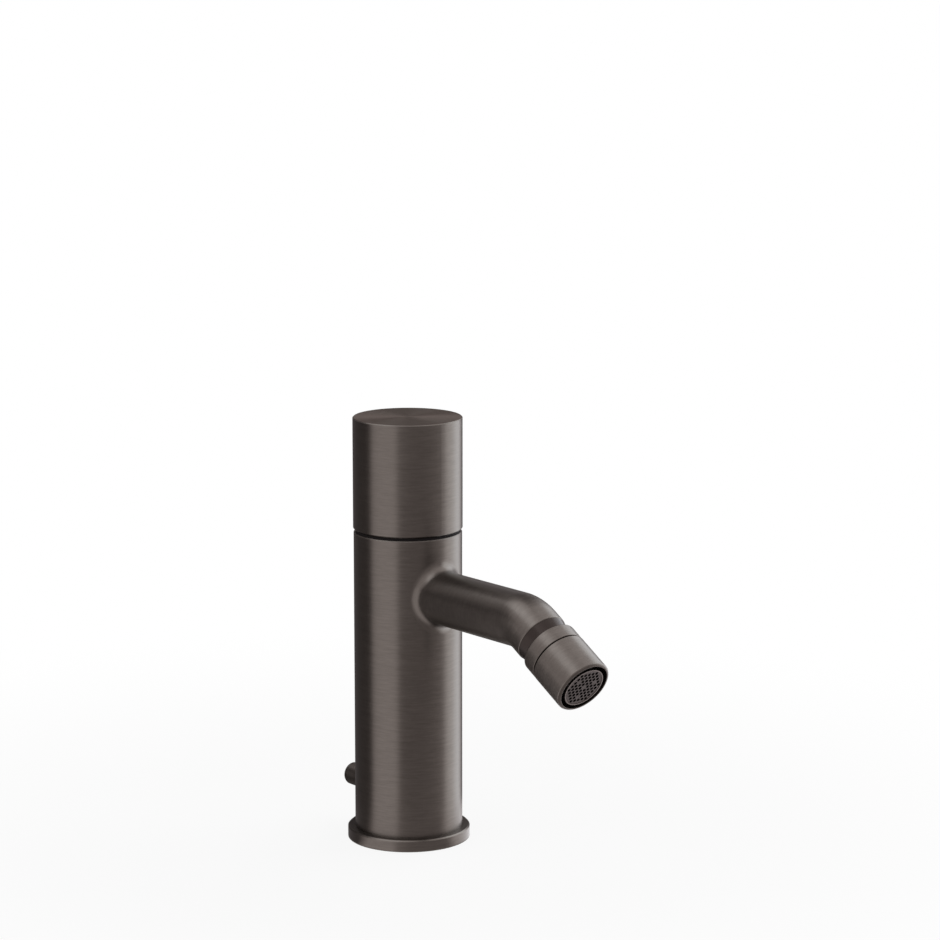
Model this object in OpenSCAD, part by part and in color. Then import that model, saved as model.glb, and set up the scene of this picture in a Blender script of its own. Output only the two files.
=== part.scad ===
// Single-handle bidet mixer: a round column with a knob on its axis, a short bent spout
// that ends in a ball-jointed aerator, and a lift knob for the pop-up waste at the rear.
// Millimetres, +Z up. The origin is on the column's axis at the deck; the spout runs along +X.

/* [Column] */
// Outer diameter of the column
column_d = 45; // [44:0.5:56]
// Height of the column's rim above the deck
column_top = 130.7; // [120:0.1:160]
// Wall thickness of the column
column_wall = 3; // [2.6:0.1:3.4]
// Chamfer on the column's rim
rim_chamfer = 0.35; // [0.2:0.05:0.8]
// Width of the column's rim outside the core's flange
rim_land = 1.9; // [1.4:0.1:2.2]

/* [Base ring] */
// How far the base ring stands out past the column
base_lip = 3.1; // [2.5:0.1:8]
// Height of the base ring
base_h = 4.9; // [4:0.1:8]
// Height of the spigot that centres the column
spigot_h = 4; // [3:0.5:8]
// Wall of that spigot round the opening for the hoses
spigot_wall = 1.95; // [1.5:0.05:3]
// Chamfer on the base ring's top edge
base_chamfer = 0.5; // [0.2:0.1:1]
// Distance of the gasket inside the base ring's edge
gasket_inset = 1.6; // [1:0.1:2.4]
// Width of the gasket
gasket_w = 4; // [2:0.5:4.5]
// Thickness of the gasket
gasket_h = 1.2; // [0.8:0.1:2]

/* [Spout] */
// Outer diameter of the spout
spout_d = 22.2; // [21.8:0.1:24]
// Drop from the column's rim to the spout's axis
spout_drop = 24.4; // [23:0.1:40]
// Distance from the column's axis to the start of the bend
spout_run = 73; // [60:0.5:110]
// Radius of the bend at the spout's axis
bend_r = 18.75; // [16:0.25:40]
// Angle of the bend
bend_angle = 30; // [20:1:40]
// Straight length after the bend
spout_tail = 5.6; // [4:0.1:20]
// Diameter of the waterway in the spout
waterway_d = 13; // [11:0.5:14]
// Radius of the fillet where the spout leaves the column
root_fillet = 5; // [3:0.25:6.5]

/* [Knob] */
// Height of the knob
knob_h = 46.7; // [40:0.1:60]
// Gap between the column's rim and the knob
knob_gap = 1.2; // [0.9:0.1:2]
// How far the knob stands out past the column
knob_overhang = 0.2; // [0:0.05:0.5]
// Wall thickness of the knob
knob_wall = 1.8; // [1.5:0.1:2.1]
// Thickness of the knob's top
knob_top_wall = 4; // [2:0.25:8]
// Width of the knob's inner shoulder above the hub
hub_shoulder = 2.8; // [1.5:0.1:5]
// Turn of the knob from closed to hot
knob_turn = 105; // [80:1:120]
// Height of the knob's hub
hub_h = 9; // [8:0.5:12]
// Thickness of the hub's web
hub_web = 4; // [3:0.25:4.5]
// Diameter of the hub's boss
hub_boss_d = 18; // [15:0.5:24]
// Diameter of the grub screw
grub_d = 4; // [3:0.5:4]

/* [Waterway core] */
// Length of the core below the spout's axis
core_below = 34.3; // [32:0.1:50]
// Height of the core's flange
flange_h = 3; // [2.5:0.1:4]
// Bore of the supply passages
inlet_d = 5.2; // [4:0.1:5.6]
// Bore of the mixed-water outlet
outlet_d = 10.4; // [8:0.1:11]
// Tapping bore of the hose ports
port_d = 9; // [8.5:0.1:9.5]
// Depth of the hose ports
port_depth = 10; // [8:0.5:14]
// Distance between the hose ports
port_spacing = 17; // [15:0.5:18]
// Distance of the hose ports behind the column's axis
port_back = 4.5; // [3.5:0.1:5.5]
// Tapping bore of the fixing stud
stud_d = 6.8; // [5:0.1:8.5]
// Depth of the stud's thread
stud_depth = 15; // [10:0.5:20]
// Distance of the fixing stud in front of the column's axis
stud_front = 7; // [5:0.5:9]
// Thickness of the seals between core and column
oring_h = 2.2; // [1.6:0.1:2.6]
// Depth of the grooves for those seals
oring_depth = 1.3; // [1:0.1:1.5]

/* [Cartridge] */
// Wall of the core round the cartridge
cup_wall = 1.9; // [1.6:0.1:2.2]
// Depth of the cartridge's seat below the column's rim
cup_depth = 11.7; // [10:0.1:12.5]
// Height of the cartridge's base
cartridge_base_h = 6; // [5:0.25:8]
// Diameter of the ceramic discs
disc_d = 27; // [26:0.25:28]
// Thickness of the fixed disc
fixed_disc_h = 3; // [2.5:0.1:4]
// Thickness of the moving disc
moving_disc_h = 2.8; // [2.5:0.1:4]
// Distance of the supply holes in the discs from the axis
disc_port_r = 9.5; // [9:0.1:10]
// Angle between the supply holes in the discs
disc_port_angle = 85; // [75:1:95]
// Height of the cartridge's housing below its shoulder
housing_h = 18; // [17:0.5:20]
// Height of the housing's neck
neck_h = 4; // [3:0.25:5]
// Diameter of the spindle's bearing
spindle_d = 14; // [12:0.25:15]
// Diameter of the spindle's end
spindle_end_d = 8; // [7:0.25:10]
// Height of the cartridge nut
nut_h = 5.5; // [4:0.25:5.5]
// Width of the stop ring's lug in degrees
stop_lug = 30; // [20:1:40]

/* [Ball joint] */
// Diameter of the ball
ball_d = 13.5; // [12.5:0.1:13.7]
// Diameter of the stem
stem_d = 8; // [7:0.1:8.4]
// Bore through ball and stem
stem_bore_d = 5; // [3.5:0.1:5.2]
// Thickness of the slip ring
slip_wall = 0.55; // [0.5:0.05:0.6]
// Distance from the ball's centre to the socket's mouth
mouth_out = 7; // [6.5:0.1:7.2]
// Length of the socket nut's thread
socket_thread = 8.5; // [8:0.25:12]
// Wall left in the spout around that thread
socket_wall = 2.1; // [1.6:0.1:2.3]
// Tilt of the joint each way
tilt = 15; // [8:1:15]

/* [Aerator] */
// Distance from the ball's centre to the swivel ring's rim
ring_start = 4.95; // [4.8:0.05:5.4]
// Visible length of the swivel ring
ring_len = 6.7; // [6.6:0.1:10]
// Diameter of the swivel ring
ring_d = 23.9; // [23.6:0.1:25.6]
// Radius of the swivel ring's rounded rim
ring_round = 1.2; // [0.6:0.1:1.4]
// Thickness of the ring's web
web_h = 2.9; // [2:0.1:5]
// Length of the spigot inside the sleeve
ring_spigot = 5.55; // [5:0.05:8]
// Diameter of the sleeve
sleeve_d = 24; // [23.8:0.1:26]
// Length of the sleeve
sleeve_len = 17.45; // [15:0.05:30]
// Width of the groove between ring and sleeve
groove_w = 0.4; // [0.1:0.05:0.6]
// Wall thickness of the sleeve at its mouth
sleeve_wall = 1.3; // [1.25:0.05:2]
// Outer diameter of the aerator's insert
insert_d = 17.9; // [17:0.1:18]
// Wall thickness of the insert
insert_wall = 0.45; // [0.4:0.05:1.4]
// How far the insert stays behind the sleeve's rim
insert_set_back = 0.1; // [0:0.05:1.5]
// Thickness of the insert's flange
insert_flange = 1.8; // [1.2:0.1:3]
// Thickness of the washer
washer_h = 0.9; // [0.6:0.1:2]
// Thickness of the flow regulator
regulator_h = 2; // [1.6:0.1:3]
// Thickness of the honeycomb screen
screen_h = 1.2; // [0.8:0.1:2]
// How far the screen stays behind the insert's rim
screen_set_back = 0.15; // [0.1:0.05:1.5]
// Pitch of the honeycomb
cell_pitch = 1.88; // [1.5:0.02:2.4]
// Web between the honeycomb's cells
cell_web = 0.54; // [0.3:0.02:0.7]

/* [Pop-up lift] */
// Diameter of the lift knob
lift_d = 9.6; // [8:0.1:14]
// Length of the lift knob
lift_len = 16; // [10:0.5:25]
// Gap between the column and the lift knob
lift_gap = 1.3; // [0.8:0.1:4]
// Height of the lift knob's axis above the deck
lift_z = 18; // [17:0.25:30]
// Rounding of the lift knob's edge
lift_round = 0.8; // [0.4:0.1:1.5]
// Travel of the lift knob
lift_travel = 12; // [8:0.5:14]
// Diameter of the pin between slider and lift knob
pin_d = 4; // [3:0.25:4.5]
// How deep the pin sits in the lift knob
pin_in_knob = 8; // [5:0.5:9]
// Diameter of the rod
rod_d = 5; // [4:0.25:5]
// Distance from the column's bore to the rod's axis
rod_inset = 4.5; // [4.3:0.1:4.8]
// Height of the rod's lower end above the deck
rod_end = 2; // [1.5:0.25:3]
// Tapping bore in the rod's lower end
rod_tap_d = 2.5; // [2:0.1:3.3]
// Depth of that thread
rod_tap_depth = 8; // [5:0.5:12]
// Height of the slider
slider_h = 9; // [7:0.5:11]
// Width of the slider
slider_w = 7.6; // [6.5:0.1:7.8]
// Wall of the rod's guide bush
bush_wall = 1.14; // [0.9:0.02:1.2]

/* [Fits] */
// Radial clearance of a fixed fit
fit = 0.05; // [0.02:0.01:0.1]
// Radial clearance of a running fit
run_fit = 0.06; // [0.04:0.01:0.1]
// Clearance between spherical faces of the ball joint
ball_fit = 0.15; // [0.1:0.01:0.2]
// Clearance between parts that pass each other
clear = 0.3; // [0.25:0.05:0.5]

/* [Hidden] */
$fn = 96;
eps = 0.01;
over = 1;

column_r = column_d / 2;
bore_r = column_r - column_wall;
rim_r = column_r - rim_land;
base_r = column_r + base_lip;
base_open_r = bore_r - fit - spigot_wall;
gasket_outer_r = base_r - gasket_inset;
gasket_inner_r = gasket_outer_r - gasket_w;

spout_r = spout_d / 2;
spout_z = column_top - spout_drop;
waterway_r = waterway_d / 2;
bend_lap = 0.5;
bend_step = 0.05;
fillet_sink = 0.05;
fillet_back = 1.5;
fillet_turns = 60;
fillet_steps = 7;

socket_x = spout_run + bend_r * sin(bend_angle) + spout_tail * cos(bend_angle);
socket_z = spout_z - bend_r * (1 - cos(bend_angle)) - spout_tail * sin(bend_angle);

knob_r = column_r + knob_overhang;
knob_z = column_top + knob_gap;
knob_bore_r = knob_r - knob_wall;
knob_chamfer = 0.35;
knob_foot = 0.55;
neck_set_back = 0.8;

core_r = bore_r - fit;
core_bottom = spout_z - core_below;
outlet_r = outlet_d / 2;
inlet_r = inlet_d / 2;
inlet_lap = 0.5;
port_seal_in = inlet_r + 0.6;
port_seal_out = inlet_r + 1.75;
port_seal_h = 1.2;
disc_port_x = -disc_port_r * cos(disc_port_angle / 2);
disc_port_y = disc_port_r * sin(disc_port_angle / 2);

cup_r = core_r - cup_wall;
cartridge_r = cup_r - 5 * fit;
cup_thread_r = cup_r + 0.55;
nut_r = cup_thread_r - fit;
nut_bore_r = 0.72 * nut_r;
cup_floor = column_top - cup_depth;
// Lower faces of the seals round the core, below and above the outlet
oring_levels = [
  spout_z - waterway_r - 2.5 - oring_h,
  (spout_z + outlet_r + cup_floor - oring_h) / 2 + 1
];
// Places of the three waterways through the cartridge's base and fixed disc
waterways = [[0, 0], [disc_port_x, disc_port_y], [disc_port_x, -disc_port_y]];
housing_z = cup_floor + cartridge_base_h;
disc_recess = 2;
disc_film = 0.05;
disc_r = disc_d / 2;
disc_pocket = 1.3;
key_w = 4;
key_len = disc_d / 1.5;
key_h = 1.1;
fixed_disc_z = housing_z - disc_recess;
moving_disc_z = fixed_disc_z + fixed_disc_h + disc_film;
driver_z = moving_disc_z + moving_disc_h;
driver_h = 2.6;
driver_r = disc_r - 1;
shoulder_z = housing_z + housing_h;
neck_z = shoulder_z + neck_h;
neck_r = spindle_d / 2 + 2;
spindle_seal_w = 1.4;
spindle_seal_h = 2;
spindle_seal_z = shoulder_z - 4;
cup_thread = 3;
cup_top = shoulder_z + cup_thread;
stop_gap = 0.5;
stop_wall = nut_bore_r - stop_gap - neck_r;
stop_rise = 0.5;
stop_ring_h = 1.2;
stop_slack = 2;
// Where the stop ring's lug starts when the knob is closed
stop_from = 180 - (stop_lug + knob_turn) / 2;
stop_z = neck_z + stop_rise + clear;
hub_z = stop_z + stop_ring_h;
hub_top = hub_z + hub_h;
spindle_flat = spindle_end_d / 2 - 0.8;
grub_z = hub_z + (hub_h - hub_web) / 2;
grub_in = 2;
grub_socket = 3;
key_d = grub_d + 1.2;
sector = 75;
sector_rest = 180 - disc_port_angle / 2 - sector / 2 - 18;

ball_r = ball_d / 2;
stem_r = stem_d / 2;
slip_r = ball_r + ball_fit;
socket_r = slip_r + slip_wall + ball_fit;
socket_thread_r = spout_r - socket_wall;
socket_depth = socket_thread + 0.5;
full_tilt = acos(cos(tilt) * cos(tilt));
mouth_cone_z = 3;
mouth_cone_gap = 0.68;
mouth_cone_slope = 0.92 * tan(full_tilt);
seat_front = 3.6;
seat_bore_r = 5;
slip_front = slip_r / 2;
slip_back = 1.3;
neck_step = 0.2;
neck_slope = tan(11);

ring_r = ring_d / 2;
ring_end = ring_start + ring_len;
ring_bore_r = sqrt(pow(spout_r + clear, 2) - pow(ring_start, 2));
glide_z = ring_start + 0.65;
glide_h = 2.6;
ring_step_z = glide_z + glide_h + clear;
ring_ledge = 0.7;
stem_collar = 1.2;
web_z = ring_end - 0.15;
spigot_end = ring_end + ring_spigot;
sleeve_z = ring_end + groove_w;
sleeve_end = sleeve_z + sleeve_len;
sleeve_r = sleeve_d / 2;
sleeve_bore_r = sleeve_r - sleeve_wall;
mouth_chamfer = 0.8;
lip_chamfer = 0.35;
spigot_r = sleeve_r - 1.1;
washer_z = spigot_end;
flange_z = washer_z + washer_h;
regulator_gap = 0.2;
regulator_end = flange_z + regulator_gap + regulator_h;
ledge_z = flange_z + insert_flange;
ledge_h = 1.8;
insert_r = insert_d / 2;
insert_end = sleeve_end - insert_set_back;
insert_bore_r = insert_r - insert_wall;
screen_top = insert_end - screen_set_back;
screen_z = screen_top - screen_h;
screen_lip = 0.4;
cell_rim = 0.2;
regulator_r = insert_bore_r - screen_lip - 0.1;
regulator_seat = 0.8;
regulator_hole_r = 0.8;

rod_x = -bore_r + rod_inset;
rod_r = rod_d / 2;
bush_r = rod_r + run_fit + bush_wall;
bush_flange = 0.5;
rod_engage = 6;
rod_over = 2;
rod_top = core_bottom + rod_engage;
lug_x = rod_x + bush_r + 1;
pin_r = pin_d / 2;
pin_x = rod_x - rod_r - 0.3;
slot_r = pin_r + clear;
slider_back = sqrt(pow(bore_r - clear, 2) - pow(slider_w / 2, 2));
slider_front = rod_x + rod_r + 1.5;
lift_x = -column_r - lift_gap;

gunmetal = "#5b5651";
brass = "#b5954a";
black_rubber = "#26262a";
acetal = "#d9d4c4";
ceramic = "#e6e1d6";
steel = "#9a9da2";
grey_plastic = "#3c3d3f";

// A unit vector at an angle in the plane
function turned(a) = [cos(a), sin(a), 0];

// A tube from z0 to z1
module tube(outer, inner, z0, z1) {
  difference() {
    translate([0, 0, z0]) cylinder(r = outer, h = z1 - z0);
    translate([0, 0, z0 - over]) cylinder(r = inner, h = z1 - z0 + 2 * over);
  }
}

// A disc from z0 to z1
module disc(r, z0, z1) {
  translate([0, 0, z0]) cylinder(r = r, h = z1 - z0);
}

// A disc whose upper edge is chamfered
module topped_disc(r, z0, z1, c) {
  disc(r, z0, z1 - c);
  translate([0, 0, z1 - c]) cylinder(r1 = r, r2 = r - c, h = c);
}

// Places a shape in the aerator's frame: +Z is the way the water leaves, origin in the ball
module at_socket() {
  translate([socket_x, 0, socket_z]) rotate([0, 90 + bend_angle, 0]) children();
}

// The spout's centreline swept with a circle of radius r. The bend is a hair thinner than the
// straight lengths and reaches a little way into both.
module spout_sweep(r, tail) {
  translate([0, 0, spout_z]) rotate([0, 90, 0]) cylinder(r = r, h = spout_run);
  translate([spout_run, 0, spout_z - bend_r]) rotate([90, 0, 0])
    rotate([0, 0, 90 - bend_angle - bend_lap]) rotate_extrude(angle = bend_angle + 2 * bend_lap)
      translate([bend_r, 0]) circle(r = r - bend_step);
  at_socket() translate([0, 0, -spout_tail]) cylinder(r = r, h = spout_tail + tail);
}

// Centre of the ball that rolls round the spout's root, touching spout and column
function roll_centre(t) = let (y = (spout_r + root_fillet) * sin(t))
  [
    sqrt(pow(column_r + root_fillet, 2) - y * y),
    y,
    spout_z + (spout_r + root_fillet) * cos(t)
  ];

// Unit vectors from that centre to the spout and to the column
function to_spout(t) = [0, -sin(t), -cos(t)];
function to_column(t) = let (c = roll_centre(t)) [-c[0], -c[1], 0] / (column_r + root_fillet);

// A point part way round the arc between the two
function on_arc(t, k) = let (
    a = to_spout(t),
    b = to_column(t),
    w = acos(a * b),
    dir = (a * sin((1 - k) * w) + b * sin(k * w)) / sin(w)
  )
  roll_centre(t) + dir * (root_fillet + fillet_sink);

// A point inside the metal behind the fillet
function behind(t) = let (
    y = (spout_r - fillet_back) * sin(t),
    z = spout_z + (spout_r - fillet_back) * cos(t)
  )
  [sqrt(pow(column_r - fillet_back, 2) - y * y), y, z];

// The concave fillet all round the spout's root
module fillet_ring() {
  row = fillet_steps + 2;
  points = [
    for (i = [0:fillet_turns - 1])
      for (j = [0:row - 1])
        let (t = 360 * i / fillet_turns)
        j <= fillet_steps ? on_arc(t, j / fillet_steps) : behind(t)
  ];
  faces = [
    for (i = [0:fillet_turns - 1])
      for (j = [0:row - 1])
        let (
          i2 = (i + 1) % fillet_turns,
          j2 = (j + 1) % row,
          a = i * row + j,
          b = i2 * row + j,
          c = i2 * row + j2,
          d = i * row + j2
        )
        each [[a, c, b], [a, d, c]]
  ];
  polyhedron(points = points, faces = faces, convexity = 4);
}

module body_column() {
  color(gunmetal) difference() {
    union() {
      topped_disc(column_r, base_h, column_top, rim_chamfer);
      spout_sweep(spout_r, 0);
      fillet_ring();
    }
    disc(bore_r, base_h - over, column_top + over);
    disc(rim_r, column_top - flange_h, column_top + over);
    spout_sweep(waterway_r, over);
    at_socket() disc(socket_thread_r, -socket_depth, over);
    rear_slot();
  }
}

// The slot in which the lift pin rises
module rear_slot() {
  low = lift_z;
  high = lift_z + lift_travel;
  for (z = [low, high])
    translate([0, 0, z]) rotate([0, -90, 0]) cylinder(r = slot_r, h = column_r + over);
  translate([-column_r - over, -slot_r, low]) cube([column_r + over, 2 * slot_r, high - low]);
}

module base_ring() {
  color(gunmetal) difference() {
    union() {
      topped_disc(base_r, 0, base_h, base_chamfer);
      disc(bore_r - fit, 0, base_h + spigot_h);
    }
    difference() {
      disc(base_open_r, -over, base_h + spigot_h + over);
      translate([lug_x - column_d, -column_r, gasket_h]) cube([column_d, column_d, column_d]);
    }
    translate([rod_x, 0, -over]) cylinder(r = bush_r + fit, h = column_r);
    tube(gasket_outer_r + fit, gasket_inner_r - fit, -over, gasket_h);
  }
}

module base_gasket() {
  color(black_rubber) tube(gasket_outer_r, gasket_inner_r, 0, gasket_h);
}

// Flanged bush that guides the rod through the base ring's lug
module rod_guide() {
  top = base_h + spigot_h;
  color(acetal) translate([rod_x, 0, 0]) {
    tube(bush_r, rod_r + run_fit, gasket_h, top);
    tube(bush_r + bush_flange, rod_r + run_fit, top, top + 1);
  }
}

module waterway_core() {
  seal_r = core_r - oring_depth;
  color(brass) difference() {
    union() {
      disc(core_r, core_bottom, cup_top);
      disc(rim_r - fit, column_top - flange_h, column_top);
    }
    disc(cup_r, cup_floor, cup_top + over);
    disc(cup_thread_r, shoulder_z, cup_top + over);
    disc(port_seal_in, spout_z, cup_floor + over);
    translate([0, 0, spout_z]) rotate([0, 90, 0]) cylinder(r = outlet_r, h = column_r);
    for (side = [-1, 1]) {
      translate([-port_back, side * port_spacing / 2, core_bottom - over])
        cylinder(r = port_d / 2, h = port_depth + over);
      translate([disc_port_x, side * disc_port_y, core_bottom + port_depth - inlet_lap])
        cylinder(r = inlet_r, h = column_top);
    }
    translate([stud_front, 0, core_bottom - over]) cylinder(r = stud_d / 2, h = stud_depth + over);
    translate([rod_x, 0, core_bottom - over])
      cylinder(r = rod_r + run_fit, h = rod_engage + lift_travel + rod_over + over);
    for (z = oring_levels)
      tube(column_r, seal_r, z, z + oring_h);
  }
}

module core_orings() {
  color(black_rubber) for (z = oring_levels)
    tube(bore_r, core_r - oring_depth, z + fit, z + oring_h - fit);
}

module neck_ring() {
  color(grey_plastic) tube(column_r - neck_set_back, core_r + fit, column_top, knob_z - clear);
}

module cartridge_base() {
  color(acetal) difference() {
    disc(cartridge_r, cup_floor, housing_z);
    disc(disc_r + fit, fixed_disc_z, housing_z + over);
    for (p = waterways)
      translate(p) {
        disc(inlet_r, cup_floor - over, housing_z);
        disc(port_seal_out + fit, cup_floor - over, cup_floor + port_seal_h);
      }
  }
}

module cartridge_port_seals() {
  color(black_rubber) for (p = waterways)
    translate(p) tube(port_seal_out, port_seal_in, cup_floor, cup_floor + port_seal_h);
}

module cartridge_fixed_disc() {
  color(ceramic) difference() {
    disc(disc_r, fixed_disc_z, fixed_disc_z + fixed_disc_h);
    for (p = waterways)
      translate(p) disc(inlet_r, fixed_disc_z - over, housing_z + fixed_disc_h);
  }
}

// The moving disc joins the outlet to the supply holes that its pocket covers
module cartridge_moving_disc() {
  color(ceramic) difference() {
    disc(disc_r - 0.5, moving_disc_z, driver_z);
    disc(inlet_r + 1, moving_disc_z - over, moving_disc_z + disc_pocket);
    translate([0, 0, moving_disc_z - over]) rotate([0, 0, sector_rest - sector / 2])
      rotate_extrude(angle = sector) square([disc_r - 1.6, disc_pocket + over]);
    drive_key(0, driver_z - key_h, driver_z + over);
  }
}

// The key by which the spindle turns the moving disc, grown by g
module drive_key(g, z0, z1) {
  translate([-key_w / 2 - g, -key_len / 2 - g, z0])
    cube([key_w + 2 * g, key_len + 2 * g, z1 - z0]);
}

module cartridge_housing() {
  bearing_r = spindle_d / 2 + run_fit;
  color(grey_plastic) difference() {
    union() {
      disc(cartridge_r, housing_z, shoulder_z);
      disc(neck_r, shoulder_z, neck_z);
      translate([0, 0, shoulder_z]) rotate([0, 0, stop_from + stop_lug + knob_turn + stop_slack])
        rotate_extrude(angle = 360 - stop_lug - knob_turn - 2 * stop_slack)
          translate([neck_r - eps, 0]) square([stop_wall, neck_h + stop_rise]);
    }
    disc(disc_r + 2 * clear, housing_z - over, driver_z + driver_h + clear);
    disc(bearing_r, housing_z, neck_z + over);
    disc(bearing_r + spindle_seal_w, spindle_seal_z, spindle_seal_z + spindle_seal_h);
  }
}

module spindle_oring() {
  inner = spindle_d / 2;
  top = spindle_seal_z + spindle_seal_h;
  color(black_rubber) tube(inner + spindle_seal_w, inner + ball_fit, spindle_seal_z + fit, top - fit);
}

module cartridge_nut() {
  slot_w = 3;
  slot_in = 2;
  color(brass) difference() {
    tube(nut_r, nut_bore_r, shoulder_z, shoulder_z + nut_h);
    for (a = [0:60:300])
      rotate([0, 0, a]) translate([nut_r - slot_in, -slot_w / 2, cup_top + 0.5])
        cube([2 * slot_in, slot_w, nut_h]);
  }
}

module cartridge_spindle() {
  color(brass) difference() {
    union() {
      disc(driver_r, driver_z, driver_z + driver_h);
      drive_key(-fit, driver_z - key_h, driver_z + eps);
      disc(spindle_d / 2, driver_z, stop_z);
      disc(spindle_end_d / 2, driver_z, hub_top - 0.5);
    }
    translate([-spindle_flat - spindle_end_d, -spindle_end_d, stop_z])
      cube([spindle_end_d, 2 * spindle_end_d, hub_h + hub_top]);
  }
}

module hot_stop_ring() {
  lug_in = neck_r + clear;
  lug_out = neck_r + stop_wall - 0.2;
  color(acetal) {
    tube(lug_out, spindle_end_d / 2 + fit, stop_z, hub_z);
    translate([0, 0, shoulder_z + clear]) rotate([0, 0, stop_from])
      rotate_extrude(angle = stop_lug)
        translate([lug_in, 0]) square([lug_out - lug_in, stop_z - shoulder_z - clear + eps]);
  }
}

module handle_hub() {
  color(brass) difference() {
    union() {
      disc(hub_boss_d / 2, hub_z, hub_top);
      disc(knob_bore_r - fit, hub_top - hub_web, hub_top);
    }
    disc(spindle_end_d / 2 + fit, hub_z - over, hub_top + over);
    translate([0, 0, grub_z]) rotate([0, -90, 0]) cylinder(r = grub_d / 2 + fit, h = column_r);
  }
}

module handle_grub_screw() {
  color(steel) difference() {
    translate([-spindle_flat, 0, grub_z]) rotate([0, -90, 0])
      cylinder(r = grub_d / 2, h = hub_boss_d / 2 - spindle_flat);
    translate([-hub_boss_d / 2 + grub_in, 0, grub_z]) rotate([0, -90, 0])
      cylinder(r = grub_d / 4, h = grub_socket, $fn = 6);
  }
}

module handle_shell() {
  color(gunmetal) difference() {
    union() {
      translate([0, 0, knob_z]) cylinder(r1 = knob_r - knob_foot, r2 = knob_r, h = knob_foot);
      topped_disc(knob_r, knob_z + knob_foot, knob_z + knob_h, knob_chamfer);
    }
    disc(knob_bore_r, knob_z - over, hub_top);
    disc(knob_bore_r - hub_shoulder, hub_top - over, knob_z + knob_h - knob_top_wall);
    translate([0, 0, grub_z]) rotate([0, -90, 0]) cylinder(r = key_d / 2, h = column_d);
  }
}

// Plug that closes the key hole, flush with the knob
module handle_screw_cap() {
  color(grey_plastic) intersection() {
    translate([0, 0, grub_z]) rotate([0, -90, 0]) cylinder(r = key_d / 2 - fit, h = column_d);
    tube(knob_r, knob_bore_r, grub_z - key_d, grub_z + key_d);
  }
}

// The nut that holds the ball in the spout's end, coned where it shows and domed under the ring
module socket_nut() {
  cone_r = stem_r / cos(full_tilt) + mouth_cone_gap + mouth_cone_z * mouth_cone_slope;
  cone_h = mouth_out + over - mouth_cone_z;
  neck_start_r = spout_r - neck_step;
  color(gunmetal) at_socket() difference() {
    union() {
      disc(socket_thread_r - fit, -socket_thread, eps);
      intersection() {
        sphere(r = spout_r);
        cylinder(r1 = neck_start_r, r2 = neck_start_r - neck_slope * mouth_out, h = mouth_out);
      }
    }
    disc(socket_r, -socket_thread - over, 0);
    sphere(r = socket_r);
    translate([0, 0, mouth_cone_z])
      cylinder(r1 = cone_r, r2 = cone_r + mouth_cone_slope * cone_h, h = cone_h);
  }
}

module ball_rear_seat() {
  color(acetal) at_socket() difference() {
    disc(socket_r - 2 * fit, -socket_depth, -seat_front);
    sphere(r = slip_r);
    disc(seat_bore_r, -socket_depth - over, 0);
  }
}

module ball_slip_ring() {
  color(acetal) at_socket() difference() {
    intersection() {
      sphere(r = slip_r + slip_wall);
      disc(spout_r, -slip_back, slip_front);
    }
    sphere(r = slip_r);
  }
}

module mouth_glide_ring() {
  color(acetal) at_socket() difference() {
    disc(ring_bore_r - ball_fit, glide_z, glide_z + glide_h);
    sphere(r = spout_r + ball_fit);
  }
}

module ball_stem() {
  color(brass) at_socket() difference() {
    union() {
      sphere(r = ball_r);
      disc(stem_r, 0, web_z + web_h);
      disc(stem_r + stem_collar, web_z - stem_collar, web_z);
    }
    disc(stem_bore_d / 2, -spout_r, web_z + web_h + over);
  }
}

module swivel_ring() {
  color(gunmetal) at_socket() difference() {
    union() {
      rotate_extrude() {
        translate([0, ring_start]) square([ring_r - ring_round, ring_end - ring_start]);
        translate([0, ring_start + ring_round]) square([ring_r, ring_len - ring_round]);
        translate([ring_r - ring_round, ring_start + ring_round]) circle(r = ring_round);
      }
      disc(spigot_r, ring_end - eps, spigot_end);
    }
    disc(ring_bore_r, ring_start - over, ring_step_z);
    disc(ring_bore_r - ring_ledge, ring_step_z - over, web_z);
    disc(stem_r + fit, web_z - over, spigot_end + over);
    disc(regulator_r, web_z + web_h, spigot_end + over);
  }
}

module swivel_sleeve() {
  color(gunmetal) at_socket() difference() {
    topped_disc(sleeve_r, sleeve_z, sleeve_end, mouth_chamfer);
    disc(spigot_r + fit, sleeve_z - over, spigot_end);
    disc(sleeve_bore_r, spigot_end - over, ledge_z);
    disc(insert_r + clear, ledge_z - over, sleeve_end + over);
    disc(sleeve_bore_r, ledge_z + ledge_h, sleeve_end + over);
    translate([0, 0, sleeve_end - lip_chamfer])
      cylinder(r1 = sleeve_bore_r, r2 = sleeve_bore_r + 2 * lip_chamfer, h = 2 * lip_chamfer);
  }
}

module aerator_washer() {
  color(black_rubber) at_socket() tube(sleeve_bore_r - 2 * fit, regulator_r + 0.2, washer_z, flange_z);
}

module aerator_housing() {
  color(grey_plastic) at_socket() difference() {
    union() {
      disc(sleeve_bore_r - 2 * fit, flange_z, ledge_z);
      disc(insert_r, flange_z, insert_end);
    }
    disc(regulator_r + fit, flange_z - over, regulator_end);
    disc(regulator_r - regulator_seat, flange_z, screen_z);
    disc(insert_bore_r - screen_lip, regulator_end + 1, insert_end + over);
    disc(insert_bore_r, screen_z, insert_end + over);
  }
}

module flow_regulator() {
  color(acetal) at_socket() difference() {
    disc(regulator_r, flange_z + regulator_gap, regulator_end);
    for (a = [0:45:315])
      rotate([0, 0, a]) translate([regulator_r * 0.6, 0, flange_z])
        cylinder(r = regulator_hole_r, h = 2 * regulator_h);
  }
}

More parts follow.
